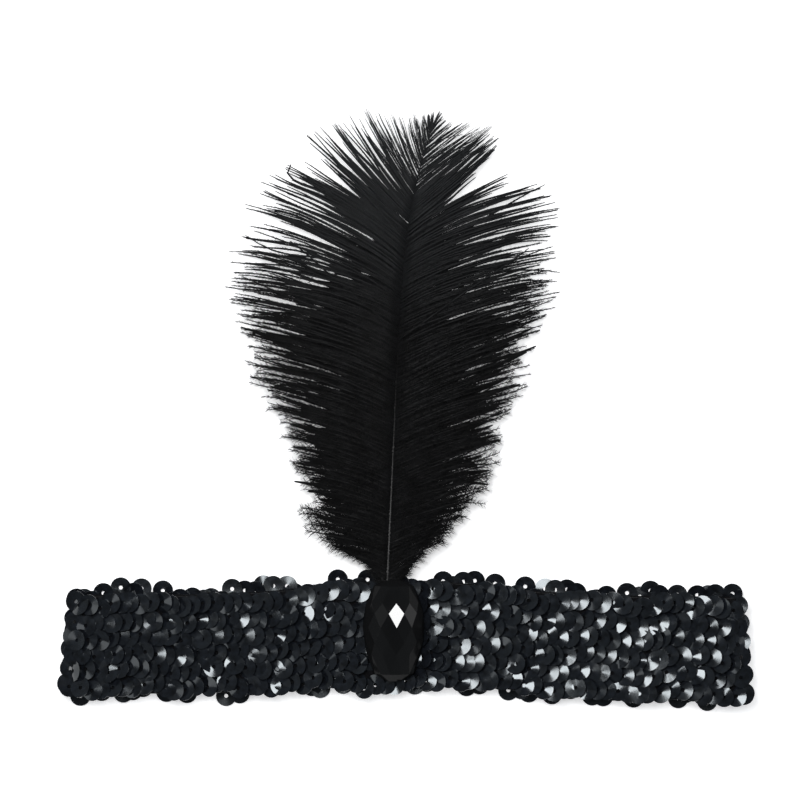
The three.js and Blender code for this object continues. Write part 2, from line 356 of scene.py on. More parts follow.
# The sequins
# Six rows of 7 mm cup sequins punched from thin black foil, each a shallow cone round its sewing hole.
# Each lies on the next one along, so its free side stands up, and those at the edges reach past the elastic.
# Most are sewn on with the cup facing down, so they lie as low domes.
SEQUIN_SEED = 20
SEQUIN_ROWS = 6
SEQUINS_PER_ROW = 132
ROW_PITCH = 0.0057
SEQUIN_RADIUS = 0.00355
HOLE_RADIUS = 0.00068
CUP_DEPTH = 0.00055
PRESSED_SHARE = 0.4
FOIL = 0.00016
SEQUIN_SIDES = 22
DOME_SHARE = 0.75
BACK_FACING = -0.5
FOLD_FACING = 0.85
SEQUIN_SEAT = 0.0011
LAYER_SPREAD = 0.0003
LEAN = math.radians(20)
LEAN_SPREAD = math.radians(6)
LEAN_LIMITS = (math.radians(2), math.radians(34))
ROLL = math.radians(8)
ROLL_SPREAD = math.radians(8)
PRESSED_LEAN = 0.2
PRESSED_ROLL = 0.3
WARP = 0.00007
ALONG_SPREAD = 0.2
ACROSS_SPREAD = 0.0005
WANDER = 0.0007
WANDER_LENGTH = 0.031
FOLD_LEAN = 0.12
EDGE_PUSH = 0.0007
PEEP_REACH = 0.0178
PEEP_SPREAD = 0.0006
PEEP_SHARE = 0.28
STONE_PUSH = 0.0031
STONE_PUSH_REACH = 0.018
STONE_PUSH_ROWS = 2
STONE_BACK_GAP = 0.00005
STONE_MARGIN = 1.09
QUILL_X = -0.006
QUILL_STRIP = 0.0018
FLOOR_GAP = 0.00002
CELL_RADII = (0.14, 0.46, 0.43, 0.11)
SEQUIN_DEEP = (0.0035, 0.0038, 0.0046, 1.0)
SEQUIN_PALE = (0.009, 0.011, 0.015, 1.0)
SEQUIN_SHEEN = (0.89, 0.96, 1.0, 1.0)
FOIL_ROUGHNESS = 0.06
FOIL_SCUFFS = 0.04
FOIL_WEAR = 0.12

rng = np.random.default_rng(SEQUIN_SEED)
sequin_count = SEQUIN_ROWS * SEQUINS_PER_ROW
row = np.repeat(np.arange(SEQUIN_ROWS), SEQUINS_PER_ROW)
step = np.tile(np.arange(SEQUINS_PER_ROW), SEQUIN_ROWS)
slip = rng.uniform(-ALONG_SPREAD, ALONG_SPREAD, sequin_count)
sequin_share = (step + 0.5 * (row % 2) + slip) / SEQUINS_PER_ROW
seat, outwards = loop_frame(sequin_share)
on_back = outwards[:, 2] < BACK_FACING

# Those on the two folds are pressed flat with the band, so that they stick out past its ends.
on_fold = np.abs(outwards[:, 2]) < FOLD_FACING
level = np.zeros(sequin_count)
up_or_down = np.where(outwards[:, 2] < 0, -1.0, 1.0)
pressed_out = np.stack((FOLD_LEAN * np.sign(seat[:, 0]), level, up_or_down), axis=-1)
pressed_out /= np.linalg.norm(pressed_out, axis=-1, keepdims=True)
outwards = np.where(on_fold[:, None], pressed_out, outwards)
onwards = np.stack((-outwards[:, 2], level, outwards[:, 0]), axis=-1)

middle_row = (SEQUIN_ROWS - 1) / 2
edge_side = np.where(row == 0, -1, np.where(row == SEQUIN_ROWS - 1, 1, 0))
set_across = (row - middle_row) * ROW_PITCH + rng.normal(0, ACROSS_SPREAD, sequin_count)
set_across += edge_side * rng.uniform(0, EDGE_PUSH, sequin_count)
set_across += WANDER * np.sin(2 * math.pi * sequin_share * LOOP_LENGTH / WANDER_LENGTH)

# The stone pushes the two lowest rows out below it, and those of the back layer are moved with them.
stone_low, stone_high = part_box("stone")
stone_middle = (stone_low + stone_high) / 2
stone_half = (stone_high - stone_low) / 2
push = STONE_PUSH * np.exp(-(((seat[:, 0] - stone_middle.x) / STONE_PUSH_REACH) ** 2))
push *= np.clip(1 - row / STONE_PUSH_ROWS, 0, 1)
set_across -= push

peeps = on_back & (edge_side != 0) & (rng.uniform(0, 1, sequin_count) < PEEP_SHARE)
peep_across = edge_side * (PEEP_REACH + rng.normal(0, PEEP_SPREAD, sequin_count))
set_across = np.where(peeps, peep_across, set_across)

laid_flat = on_back | on_fold
lean = np.clip(rng.normal(LEAN, LEAN_SPREAD, sequin_count), *LEAN_LIMITS)
lean = np.where(laid_flat, PRESSED_LEAN * lean, lean)
roll = rng.normal(ROLL, ROLL_SPREAD, sequin_count)
roll = np.where(laid_flat, PRESSED_ROLL * roll, roll)
rise = ELASTIC_WALL / 2 + SEQUIN_SEAT + rng.uniform(0, LAYER_SPREAD, sequin_count)
seat = seat + outwards * rise[:, None]
seat[:, 1] = set_across * flare(seat[:, 0]) + band_bow(seat[:, 0])
seat[:, 0] += end_slant(seat[:, 0], set_across)

# Each sequin's own axes: onwards along the band, across it, and the way that its cup faces.
sideways = np.tile((0.0, -1.0, 0.0), (sequin_count, 1))
faces_up = np.cos(lean)[:, None] * outwards + np.sin(lean)[:, None] * onwards
cup_x = np.cos(lean)[:, None] * onwards - np.sin(lean)[:, None] * outwards
cup_y = np.cos(roll)[:, None] * sideways + np.sin(roll)[:, None] * faces_up
cup_z = np.cos(roll)[:, None] * faces_up - np.sin(roll)[:, None] * sideways

# A sequin's section has four points: hole and rim on the upper side, then rim and hole on the lower side.
section_radius = np.array((HOLE_RADIUS, SEQUIN_RADIUS, SEQUIN_RADIUS, HOLE_RADIUS))
section_offset = np.array((FOIL / 2, FOIL / 2, -FOIL / 2, -FOIL / 2))
corner = np.tile(2 * math.pi * np.arange(SEQUIN_SIDES) / SEQUIN_SIDES, len(section_radius))
radius = np.repeat(section_radius, SEQUIN_SIDES)
reach = radius / SEQUIN_RADIUS
foil_offset = np.repeat(section_offset, SEQUIN_SIDES)
facing = np.where(rng.uniform(0, 1, sequin_count) < DOME_SHARE, -1.0, 1.0)[:, None]
warp_turn = rng.uniform(0, 2 * math.pi, sequin_count)[:, None]
warp = rng.normal(0, WARP, sequin_count)[:, None]
depth = CUP_DEPTH * np.where(laid_flat, PRESSED_SHARE, 1.0)[:, None]
height = facing * depth * reach + foil_offset + warp * reach**2 * np.cos(2 * corner - warp_turn)
sequin_points = (
    seat[:, None]
    + (radius * np.cos(corner))[:, None] * cup_x[:, None]
    + (radius * np.sin(corner))[:, None] * cup_y[:, None]
    + height[:, :, None] * cup_z[:, None]
).reshape(-1, 3)

# Nothing reaches under the floor, or up into the stone's back and the quill.
stone_x = (sequin_points[:, 0] - stone_middle.x) / stone_half.x
stone_y = (sequin_points[:, 1] - stone_middle.y) / stone_half.y
under_stone = np.hypot(stone_x, stone_y) < STONE_MARGIN
under_quill = (np.abs(sequin_points[:, 0] - QUILL_X) < QUILL_STRIP) & (sequin_points[:, 1] > 0)
pressed = under_stone | under_quill
ceiling = stone_low.z - STONE_BACK_GAP
sequin_points[:, 2] = np.where(pressed, np.minimum(sequin_points[:, 2], ceiling), sequin_points[:, 2])
sequin_points[:, 2] = np.maximum(sequin_points[:, 2], FLOOR_GAP)

ring = np.arange(len(section_radius))[:, None] * SEQUIN_SIDES
ring_on = np.roll(ring, -1, axis=0)
side = np.arange(SEQUIN_SIDES)
side_on = np.roll(side, -1)
quads = np.stack((ring + side, ring_on + side, ring_on + side_on, ring + side_on), axis=-1)
one_sequin = quads.reshape(-1, 4)
points_each = len(radius)
sequin_faces = (one_sequin[None] + points_each * np.arange(sequin_count)[:, None, None]).reshape(-1, 4)


def joined_mesh(name, points, faces):
    """One object whose mesh holds many small closed shapes."""
    mesh = bpy.data.meshes.new(name)
    mesh.from_pydata(points.tolist(), [], faces.tolist())
    piece = bpy.data.objects.new(name, mesh)
    bpy.context.collection.objects.link(piece)
    return piece


sequins = joined_mesh("cup_sequins", sequin_points, sequin_faces)

# The bake map gives every sequin a square cell of its own, in which it lies as seen along its axis.
cells_across = math.ceil(math.sqrt(sequin_count))
cell = np.stack(np.divmod(np.arange(sequin_count), cells_across), axis=-1) + 0.5
cell_radius = np.repeat(CELL_RADII, SEQUIN_SIDES)
in_cell = cell_radius[:, None] * np.stack((np.cos(corner), np.sin(corner)), axis=-1)
cell_map = (cell[:, None] + in_cell).reshape(-1, 2) / cells_across
bake_layer = sequins.data.uv_layers.new(name="OFBake")
bake_layer.uv.foreach_set("vector", cell_map[sequin_faces.ravel()].ravel())

tone = sequins.data.attributes.new("tone", "FLOAT", "POINT")
tone.data.foreach_set("value", np.repeat(rng.uniform(0, 1, sequin_count), points_each))
bpy.ops.object.select_all(action="DESELECT")
sequins.select_set(True)
bpy.context.view_layer.objects.active = sequins
bpy.ops.object.shade_smooth_by_angle(angle=math.radians(30))

black_foil, foil_tree, foil_shader = new_finish("black_foil", roughness=FOIL_ROUGHNESS, ior=1.52)
foil_dye = add_mottle(foil_tree, scale=500.0, deep=SEQUIN_DEEP, pale=SEQUIN_PALE)
feed(foil_tree, foil_shader.inputs["Base Color"], foil_dye.outputs["Colour"])
scuffs = add_math(foil_tree, "MULTIPLY", foil_dye.outputs["Mottle"], FOIL_SCUFFS)
wear = add_math(foil_tree, "MULTIPLY", add_attribute(foil_tree, "tone"), FOIL_WEAR)
dullness = add_math(foil_tree, "ADD", scuffs, wear)
feed(foil_tree, foil_shader.inputs["Roughness"], add_math(foil_tree, "ADD", dullness, FOIL_ROUGHNESS))
add_bump(foil_tree, foil_shader, foil_dye.outputs["Mottle"], distance=0.00006, strength=0.04)
foil_shader.inputs["Specular Tint"].default_value = SEQUIN_SHEEN
sequins.data.materials.append(black_foil)

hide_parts("sequin_rows")
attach(sequins, "root")


# The plume's shaft
# The stiff quill of an ostrich plume: bare and grey at its foot, where it goes under the stone.
# It thins towards the tip, which leans to the right, and the dye has taken more the further up it goes.
SHAFT_RADIUS = 0.00065
SHAFT_TIP_RADIUS = 0.00014
SHAFT_POINTS = 40
QUILL_Z = 0.0136
# The shaft's course: the way up the plume, the place across it, and how far it sinks.
SHAFT_COURSE = np.array(
    (
        (0.003, -0.0069, 0.0000),
        (0.019, -0.0063, 0.0002),
        (0.057, -0.0048, 0.0012),
        (0.091, -0.0031, 0.0028),
        (0.118, -0.0014, 0.0038),
        (0.137, 0.0003, 0.0044),
        (0.147, 0.0020, 0.0046),
        (0.159, 0.0048, 0.0049),
        (0.1675, 0.0072, 0.0051),
        (0.1745, 0.0092, 0.0052),
    )
)
SHAFT_UP, SHAFT_ACROSS, SHAFT_SINK = SHAFT_COURSE.T
SHAFT_FOOT = 0.0056
SHAFT_TIP = SHAFT_UP[-1]
DYED_FROM = 0.045
DYED_BY = 0.085
SHAFT_GREY = (0.09, 0.09, 0.09, 1.0)
SHAFT_BLACK = (0.0085, 0.0085, 0.0088, 1.0)
GRAIN_DEEP = (0.75, 0.75, 0.75, 1.0)
GRAIN_PALE = (1.0, 1.0, 1.0, 1.0)
shaft_lean = np.polynomial.Polynomial.fit(SHAFT_UP, SHAFT_ACROSS, deg=4)
shaft_drop = np.polynomial.Polynomial.fit(SHAFT_UP, SHAFT_SINK, deg=3)


def shaft_at(up):
    """Places on the middle of the shaft, at distances up the plume."""
    return np.stack((shaft_lean(up), up, QUILL_Z - shaft_drop(up)), axis=-1)


def shaft_radius(up):
    """How thick the shaft still is, at distances up the plume."""
    return np.interp(up, (SHAFT_FOOT, SHAFT_TIP), (SHAFT_RADIUS, SHAFT_TIP_RADIUS))


bpy.ops.object.select_all(action="DESELECT")
bpy.ops.curve.primitive_nurbs_path_add()
shaft = bpy.context.object
shaft.name = "plume_shaft"
shaft.data.splines.clear()
shaft_line = shaft.data.splines.new("POLY")
shaft_line.points.add(SHAFT_POINTS - 1)
shaft_up = np.linspace(SHAFT_FOOT, SHAFT_TIP, SHAFT_POINTS)
for point, place, thickness in zip(shaft_line.points, shaft_at(shaft_up), shaft_radius(shaft_up)):
    point.co = (*place, 1.0)
    point.radius = thickness / SHAFT_RADIUS
shaft.data.dimensions = "3D"
shaft.data.bevel_depth = SHAFT_RADIUS
shaft.data.bevel_resolution = 3
shaft.data.use_fill_caps = True
bpy.ops.object.convert(target="MESH")
bpy.ops.object.mode_set(mode="EDIT")
bpy.ops.mesh.select_all(action="SELECT")
bpy.ops.mesh.remove_doubles(threshold=0.000001)
bpy.ops.mesh.normals_make_consistent(inside=False)
bpy.ops.object.mode_set(mode="OBJECT")
bpy.ops.object.shade_smooth_by_angle(angle=math.radians(50))


def add_fade_up(tree, start, end):
    """A mask that rises from 0 at one place up the plume to 1 at another."""
    place = tree.nodes.new("ShaderNodeTexCoord")
    axes = tree.nodes.new("ShaderNodeSeparateXYZ")
    fade = tree.nodes.new("ShaderNodeMapRange")
    fade.inputs["From Min"].default_value = start
    fade.inputs["From Max"].default_value = end
    tree.links.new(place.outputs["Object"], axes.inputs["Vector"])
    tree.links.new(axes.outputs["Y"], fade.inputs["Value"])
    return fade.outputs["Result"]


def add_blend(tree, share, first, second, blend_type="MIX"):
    """Two links or colours blended by a share, and the output."""
    node = tree.nodes.new("ShaderNodeMixRGB")
    node.blend_type = blend_type
    feed(tree, node.inputs["Fac"], share)
    feed(tree, node.inputs["Color1"], first)
    feed(tree, node.inputs["Color2"], second)
    return node.outputs["Color"]


shaft_horn, horn_tree, horn_shader = new_finish("shaft_horn", roughness=0.65, ior=1.54)
horn_grain = add_mottle(horn_tree, scale=700.0, deep=GRAIN_DEEP, pale=GRAIN_PALE)
horn_dye = add_blend(horn_tree, add_fade_up(horn_tree, DYED_FROM, DYED_BY), SHAFT_GREY, SHAFT_BLACK)
horn_colour = add_blend(horn_tree, 1.0, horn_dye, horn_grain.outputs["Colour"], blend_type="MULTIPLY")
feed(horn_tree, horn_shader.inputs["Base Color"], horn_colour)
add_bump(horn_tree, horn_shader, horn_grain.outputs["Mottle"], distance=0.00005, strength=0.4)
horn_shader.inputs["Specular IOR Level"].default_value = 0.12
shaft.data.materials.append(shaft_horn)

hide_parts("plume")
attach(shaft, "root")


# The plume's barbs
# Soft dyed barbs that grow from both sides of the shaft, each fringed with fine barbules all along.
# Neighbours cling together in strands with hair-fine ends at the top, and hardly at all in the downy foot.

# Barbs by the place of their roots up the shaft: their length, and their angles from +Y at root and end.
BARB_COLUMNS = ("root", "length", "leaves", "ends")
LEFT_BARBS = np.array(
    (
        (0.0135, 0.0090, 40, 18),
        (0.0165, 0.0110, 46, 30),
        (0.0195, 0.0145, 54, 56),
        (0.0220, 0.0190, 58, 72),
        (0.0240, 0.0230, 62, 82),
        (0.0300, 0.0290, 60, 84),
        (0.0380, 0.0320, 58, 82),
        (0.0500, 0.0350, 57, 80),
        (0.0690, 0.0470, 56, 79),
        (0.0880, 0.0590, 54, 78),
        (0.0980, 0.0575, 50, 84),
        (0.1050, 0.0600, 48, 86),
        (0.1140, 0.0610, 46, 85),
        (0.1185, 0.0565, 42, 75),
        (0.1276, 0.0555, 40, 70),
        (0.1330, 0.0490, 40, 64),
        (0.1355, 0.0400, 44, 54),
        (0.1395, 0.0460, 49, 46),
        (0.1435, 0.0418, 46, 38),
        (0.1475, 0.0358, 41, 32),
        (0.1520, 0.0296, 35, 25),
        (0.1560, 0.0238, 29, 19),
        (0.1600, 0.0182, 23, 13),
        (0.1645, 0.0126, 18, 8),
        (0.1690, 0.0088, 14, 4),
        (0.1740, 0.0050, 2, -6),
    )
)
RIGHT_BARBS = np.array(
    (
        (0.0135, 0.0080, 52, 40),
        (0.0165, 0.0120, 56, 48),
        (0.0195, 0.0150, 60, 56),
        (0.0240, 0.0200, 60, 70),
        (0.0300, 0.0270, 58, 74),
        (0.0380, 0.0330, 58, 76),
        (0.0540, 0.0390, 58, 76),
        (0.0650, 0.0440, 58, 76),
        (0.0760, 0.0500, 58, 74),
        (0.0880, 0.0540, 57, 72),
        (0.1000, 0.0550, 54, 79),
        (0.1080, 0.0550, 52, 82),
        (0.1185, 0.0540, 50, 80),
        (0.1255, 0.0555, 48, 80),
        (0.1325, 0.0505, 46, 75),
        (0.1350, 0.0470, 46, 69),
        (0.1375, 0.0260, 50, 56),
        (0.1400, 0.0398, 53, 48),
        (0.1460, 0.0385, 51, 50),
        (0.1530, 0.0335, 49, 54),
        (0.1580, 0.0272, 48, 56),
        (0.1632, 0.0192, 46, 56),
        (0.1664, 0.0132, 43, 56),
        (0.1690, 0.0100, 36, 46),
        (0.1740, 0.0058, 24, 30),
    )
)
# One loose barb on the left curls up at its end: its places across and up the plume.
LOOSE_BARB = np.array(
    (
        (-0.0012, 0.1210),
        (-0.0100, 0.1345),
        (-0.0209, 0.1457),
        (-0.0295, 0.1516),
        (-0.0363, 0.1539),
        (-0.0397, 0.1557),
        (-0.0408, 0.1574),
        (-0.0405, 0.1592),
        (-0.0396, 0.1606),
    )
)
LOOSE_HEIGHTS = (0.0100, 0.0062)
LOOSE_HALF_WIDTH = 0.0006
LOOSE_CROWDING = 0.6

# A pair holds a value for the downy foot and one for the sleek top, or the two ends of a range.
BARBS_PER_VANE = 420
DOWN_PER_VANE = 190
BARB_STEPS = 12
BARB_HALF_WIDTHS = (0.00032, 0.00040)
BARB_HALF_HEIGHT = 0.00010
BARB_TAPER = ((0, 0.5, 0.8, 1), (1, 1, 0.7, 0.3))  # shares of the way along, and of the full width there
BARB_DROOP = 0.0036
BARB_BEND = 0.45
BARB_SWING = math.radians(2.2)
BARB_WAVE = (math.radians(11), math.radians(5))
BARB_WAVE_COUNT = 1.3
BARB_SHORTER = (0.16, 0.12)
BARB_SHORTEST = 0.5
BARB_CROWDING = 0.88
BARB_JITTER = 0.0015
STRAND_SIZES = (3, 10)
STRAND_LENGTHS = (0.96, 1.10)
STRAND_LIFT = 0.0012
CLING_FROM = (0.50, 0.25)
CLING_BY = (1.0, 0.85)
CLING_PULL = (0.05, 0.50)
CLING_EXTRA = 0.18
CLING_SCATTER = 0.00032
STRAY_SHARE = 0.07
STRAY_SWING = math.radians(12)
DOWNY_BELOW = 0.030
SLEEK_ABOVE = 0.132
FINE_FROM = 0.140
FINE_BY = 0.158
FINE_WIDTH = 0.36
FINE_BARBULES = 0.5
DOWN_CLING = 0.4
DOWN_HALF_WIDTH = 0.0009
DOWN_SLIMMEST = 0.4
DOWN_SHARES = (0.95, 0.36)
DOWN_SPREAD = (0.75, 1.08)
DOWN_SHORTER_FROM = 0.08
DOWN_SINK = 0.0009
DOWN_FOOT = 0.015
DOWN_FULL_LENGTH = 0.030
DOWN_TOP = 0.128
BARBULE_SPACING = 0.00042
BARBULE_ROOT = 0.00009
BARBULE_LENGTHS = (0.0044, 0.0019)
BARBULE_SIZES = (0.6, 1.15)
BARBULE_SPREADS = (math.radians(50), math.radians(30))
BARBULE_TURNS = (0.5, 1.3)
BARBULE_TILT = 0.45
BARBULE_TAPER = 0.75
BARBULE_LAST = 0.985
BARBULE_FLOOR = 0.0004
SHAFT_COVERED = (0.085, 0.130)
ROOT_ASIDE = (0.45, 0.0)
ROOT_HEIGHTS = (0.9, 1.1)
ROOT_SCATTER = 0.0005
PLUME_FLOOR = 0.0012
PLUME_SPLIT = 0.100
BARB_DEEP = (0.0040, 0.0040, 0.0042, 1.0)
BARB_PALE = (0.0092, 0.0094, 0.0100, 1.0)
BARB_TIPS = (0.0175, 0.0186, 0.0203, 1.0)
PALER_FROM = 0.105
PALER_BY = 0.172
BAKE_SPAN = 0.25
BAKE_SHEAR = 0.3
BAKE_MARGIN = 0.01


def barb_size(table, column, root):
    """A column of a barb table at these roots."""
    return np.interp(root, table[:, 0], table[:, BARB_COLUMNS.index(column)])


def sleekness(root):
    """From 0 in the downy foot of the plume to 1 at its sleek top."""
    return np.clip((root - DOWNY_BELOW) / (SLEEK_ABOVE - DOWNY_BELOW), 0, 1)


def thinning(root, least):
    """The share of a full size that is left at these roots, which is less in the plume's last part."""
    return np.interp(root, (FINE_FROM, FINE_BY), (1, least))


def barb_courses(table, side_sign, root, length, swing, rng):
    """Lines of barbs that leave the shaft and end at the table's angles, swung and waved a little."""
    leaves = np.radians(barb_size(table, "leaves", root))
    ends = np.radians(barb_size(table, "ends", root))
    way = np.linspace(0, 1, BARB_STEPS)
    middle = (way[1:] + way[:-1]) / 2
    wave = rng.normal(0, np.interp(sleekness(root), (0, 1), BARB_WAVE))[:, None]
    wave_turn = rng.uniform(0, 2 * math.pi, len(root))[:, None]
    angle = leaves[:, None] + (ends - leaves + swing)[:, None] * middle**BARB_BEND
    angle = angle + wave * middle * np.sin(2 * math.pi * BARB_WAVE_COUNT * middle + wave_turn)
    piece = (length / (BARB_STEPS - 1))[:, None]
    start = shaft_at(root)
    thickness = shaft_radius(root)
    start[:, 0] += side_sign * np.interp(root, SHAFT_COVERED, ROOT_ASIDE) * thickness
    start[:, 2] += np.interp(root, SHAFT_COVERED, ROOT_HEIGHTS) * thickness
    start[:, 2] += rng.uniform(0, ROOT_SCATTER, len(root))
    lines = np.repeat(start[:, None], BARB_STEPS, axis=1)
    lines[:, 1:, 0] += side_sign * np.cumsum(piece * np.sin(angle), axis=1)
    lines[:, 1:, 1] += np.cumsum(piece * np.cos(angle), axis=1)
    lines[:, :, 2] -= BARB_DROOP * way**2
    return lines


def along_lines(lines, barb, way):
    """Places at shares of the way along chosen barbs, and the ways onwards there."""
    steps = way * (BARB_STEPS - 1)
    low = np.minimum(steps.astype(int), BARB_STEPS - 2)
    start = lines[barb, low]
    end = lines[barb, low + 1]
    onwards = end - start
    onwards /= np.linalg.norm(onwards, axis=-1, keepdims=True)
    return start + (end - start) * (steps - low)[:, None], onwards


def vane_lines(table, side_sign, number, cling_share, rng):
    """The middle lines of the barbs on one side of the shaft, with their lengths and roots."""
    places = np.linspace(0, 1, number) ** BARB_CROWDING
    places = np.clip(places + rng.normal(0, BARB_JITTER, number), 0, 1)
    root = np.sort(table[0, 0] + (table[-1, 0] - table[0, 0]) * places)
    strand = np.zeros(number, int)
    first = 0
    while first < number:
        last = first + rng.integers(*STRAND_SIZES)
        strand[last:] += 1
        first = last
    strands = strand[-1] + 1
    strand_root = np.array([root[strand == i].mean() for i in range(strands)])
    strand_length = barb_size(table, "length", strand_root) * rng.uniform(*STRAND_LENGTHS, strands)
    strand_swing = rng.normal(0, BARB_SWING, strands)
    strand_lines = barb_courses(table, side_sign, strand_root, strand_length, strand_swing, rng)
    way = np.linspace(0, 1, BARB_STEPS)
    strand_lines[:, :, 2] += rng.normal(0, STRAND_LIFT, strands)[:, None] * way

    shorter = np.interp(sleekness(root), (0, 1), BARB_SHORTER)
    share = np.clip(1 - np.abs(rng.normal(0, shorter)), BARB_SHORTEST, 1)
    length = strand_length[strand] * share
    stray = rng.uniform(0, 1, number) < STRAY_SHARE
    swing = rng.normal(0, np.where(stray, STRAY_SWING, BARB_SWING))
    own = barb_courses(table, side_sign, root, length, swing, rng)
    ways = (share[:, None] * way).ravel()
    clung = along_lines(strand_lines, np.repeat(strand, BARB_STEPS), ways)[0].reshape(own.shape)
    clung = clung + rng.normal(0, CLING_SCATTER, (number, 1, 3))
    sleek = sleekness(root)[:, None]
    pull = np.interp(sleek, (0, 1), CLING_PULL) + rng.uniform(0, CLING_EXTRA, (number, 1))
    pull = cling_share * pull
    pull = np.where(stray[:, None], 0.0, pull)
    cling_from = np.interp(sleek, (0, 1), CLING_FROM)
    cling_by = np.interp(sleek, (0, 1), CLING_BY)
    grip = np.clip((way - cling_from) / (cling_by - cling_from), 0, 1)
    grip = pull * grip**2 * (3 - 2 * grip)
    lines = own + (clung - own) * grip[:, :, None]
    lines[:, :, 2] = np.maximum(lines[:, :, 2], PLUME_FLOOR)
    return lines, length, root


def loose_line():
    """The middle line of the loose barb, with its steps closer together towards its curled end."""
    gone = np.concatenate(([0], np.cumsum(np.linalg.norm(np.diff(LOOSE_BARB, axis=0), axis=1))))
    way = gone[-1] * np.linspace(0, 1, BARB_STEPS) ** LOOSE_CROWDING
    across, up = (np.interp(way, gone, LOOSE_BARB[:, i]) for i in (0, 1))
    return np.stack((across, up, np.linspace(*LOOSE_HEIGHTS, BARB_STEPS)), axis=-1), gone[-1]


def flat_and_upright(onwards):
    """For each way onwards, the level way across it and the way up from it."""
    flat = np.cross(onwards, (0.0, 0.0, 1.0))
    flat /= np.linalg.norm(flat, axis=-1, keepdims=True)
    return flat, np.cross(flat, onwards)


def barb_blades(lines, half_width):
    """Slim four-sided blades along the lines, with flat ends, and which of their faces are rounded."""
    heading = np.gradient(lines, axis=1)
    heading /= np.linalg.norm(heading, axis=-1, keepdims=True)
    flat, upright = flat_and_upright(heading)
    way = np.linspace(0, 1, BARB_STEPS)
    size = np.interp(way, *BARB_TAPER)[None, :, None]
    wide = half_width[:, None, None] * size * flat
    high = BARB_HALF_HEIGHT * size * upright
    points = np.stack((lines + wide, lines + high, lines - wide, lines - high), axis=2)
    k = np.arange(4)
    k_on = np.roll(k, -1)
    ring = 4 * np.arange(BARB_STEPS - 1)[:, None]
    lower = np.stack((ring + k, ring + 4 + k, ring + k_on), axis=-1).reshape(-1, 3)
    upper = np.stack((ring + k_on, ring + 4 + k, ring + 4 + k_on), axis=-1).reshape(-1, 3)
    last = 4 * (BARB_STEPS - 1)
    ends = np.array(((0, 1, 2), (0, 2, 3), (last, last + 2, last + 1), (last, last + 3, last + 2)))
    one = np.concatenate((lower, upper, ends))
    faces = (one[None] + 4 * BARB_STEPS * np.arange(len(lines))[:, None, None]).reshape(-1, 3)
    rounded = np.tile(np.arange(len(one)) < len(one) - len(ends), len(lines))
    return points.reshape(-1, 3), faces, rounded


def barbules(lines, length, root, rng):
    """Fine spikes on both sides of every barb, longer and looser low on the plume."""
    counts = (length / BARBULE_SPACING).astype(int)
    barb = np.repeat(np.arange(len(lines)), counts)
    barb = np.concatenate((barb, barb))
    number = len(barb)
    hand = np.where(np.arange(number) < number // 2, -1.0, 1.0)
    way = rng.uniform(0.0, BARBULE_LAST, number)
    place, onwards = along_lines(lines, barb, way)
    sleek = sleekness(root)[barb]
    size = np.interp(sleek, (0, 1), BARBULE_LENGTHS) * (1 - BARBULE_TAPER * sleek * way**2)
    size = size * rng.uniform(*BARBULE_SIZES, number) * thinning(root, FINE_BARBULES)[barb]
    spread = np.interp(sleek, (0, 1), BARBULE_SPREADS) * rng.uniform(*BARBULE_TURNS, number)
    flat, upright = flat_and_upright(onwards)
    tilt = rng.normal(0, BARBULE_TILT, number)
    out = hand[:, None] * flat * np.cos(tilt)[:, None] + upright * np.sin(tilt)[:, None]
    spike = np.cos(spread)[:, None] * onwards + np.sin(spread)[:, None] * out
    broad, deep = flat_and_upright(spike)
    turns = 2 * math.pi * np.arange(3)[:, None] / 3
    foot = np.cos(turns) * broad[:, None] + np.sin(turns) * deep[:, None]
    base = place[:, None] + BARBULE_ROOT * foot
    tip = place + size[:, None] * spike
    tip[:, 2] = np.maximum(tip[:, 2], BARBULE_FLOOR)
    points = np.concatenate((base, tip[:, None]), axis=1).reshape(-1, 3)
    one = np.array(((0, 1, 2), (0, 3, 1), (1, 3, 2), (2, 3, 0)))
    faces = (one[None] + 4 * np.arange(number)[:, None, None]).reshape(-1, 3)
    return points, faces


def map_from_above(piece, points, faces):
    """A bake map that lays the piece out as seen from above, sheared so that upright faces have width too."""
    flat = points[:, :2] + BAKE_SHEAR * points[:, 2:] + (BAKE_SPAN / 2, BAKE_MARGIN)
    layer = piece.data.uv_layers.new(name="OFBake")
    layer.uv.foreach_set("vector", (flat / BAKE_SPAN)[faces.ravel()].ravel())


plume_black, plume_tree, plume_shader = new_finish("plume_black", roughness=0.55, ior=1.45)
plume_dye = add_mottle(plume_tree, scale=160.0, deep=BARB_DEEP, pale=BARB_PALE)
paler = add_fade_up(plume_tree, PALER_FROM, PALER_BY)
plume_colour = add_blend(plume_tree, paler, plume_dye.outputs["Colour"], BARB_TIPS)
feed(plume_tree, plume_shader.inputs["Base Color"], plume_colour)
plume_shader.inputs["Specular IOR Level"].default_value = 0.2

